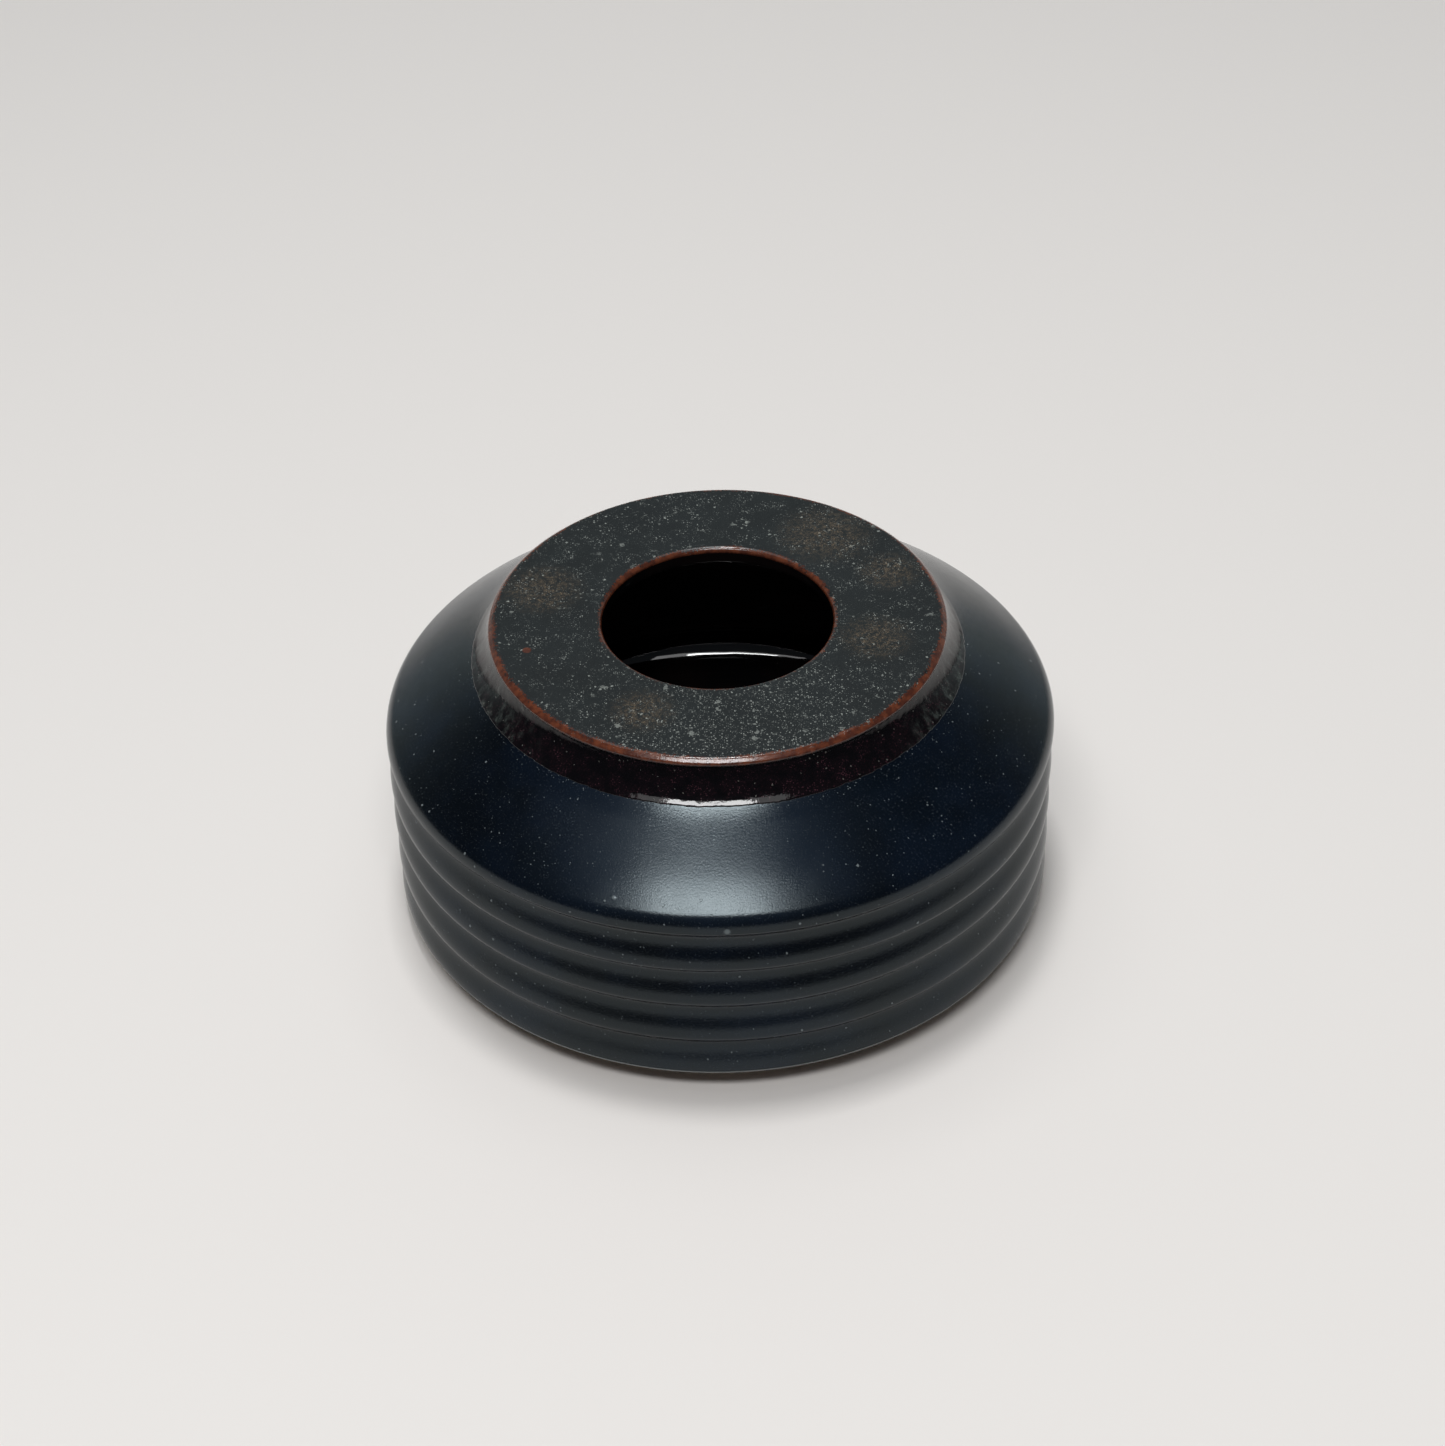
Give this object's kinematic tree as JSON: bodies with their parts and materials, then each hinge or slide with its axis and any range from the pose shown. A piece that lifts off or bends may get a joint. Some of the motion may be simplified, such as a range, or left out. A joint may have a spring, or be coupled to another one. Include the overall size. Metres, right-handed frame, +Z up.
{
  "type": "ceramic candle vessel",
  "caption": "Squat glazed stoneware candle vessel with a ribbed round drum, sloping shoulder, short neck and a flat top plate with a round mouth.",
  "frame": {"origin": "on the turning axis, in the plane of the table that the foot ring stands on", "axes": "+Z up along the turning axis, out of the mouth; the vessel is round, so +X and +Y are free, and -Y is its front"},
  "size_m": [0.12, 0.12, 0.058],
  "materials": {
    "stoneware_bare": "matte",
    "stoneware_clay": "matte",
    "glaze_satin_black": "satin",
    "glaze_gloss_brown": "polished",
    "glaze_speckled": "satin",
    "glaze_iron_break": "gloss",
    "glaze_liner_black": "polished"
  },
  "bodies": {
    "root": {"foot_ring": "stoneware_bare", "base_disc": "stoneware_bare", "ribbed_wall": "stoneware_clay", "shoulder_ring": "stoneware_clay", "neck_collar": "stoneware_clay", "rim_plate": "stoneware_clay", "satin_glaze_wall": "glaze_satin_black", "satin_glaze_shoulder": "glaze_satin_black", "gloss_glaze_neck": "glaze_gloss_brown", "speckled_glaze_rim": "glaze_speckled", "rim_edge_break": "glaze_iron_break", "mouth_edge_break": "glaze_iron_break", "gloss_glaze_liner": "glaze_liner_black"}
  },
  "joints": []
}
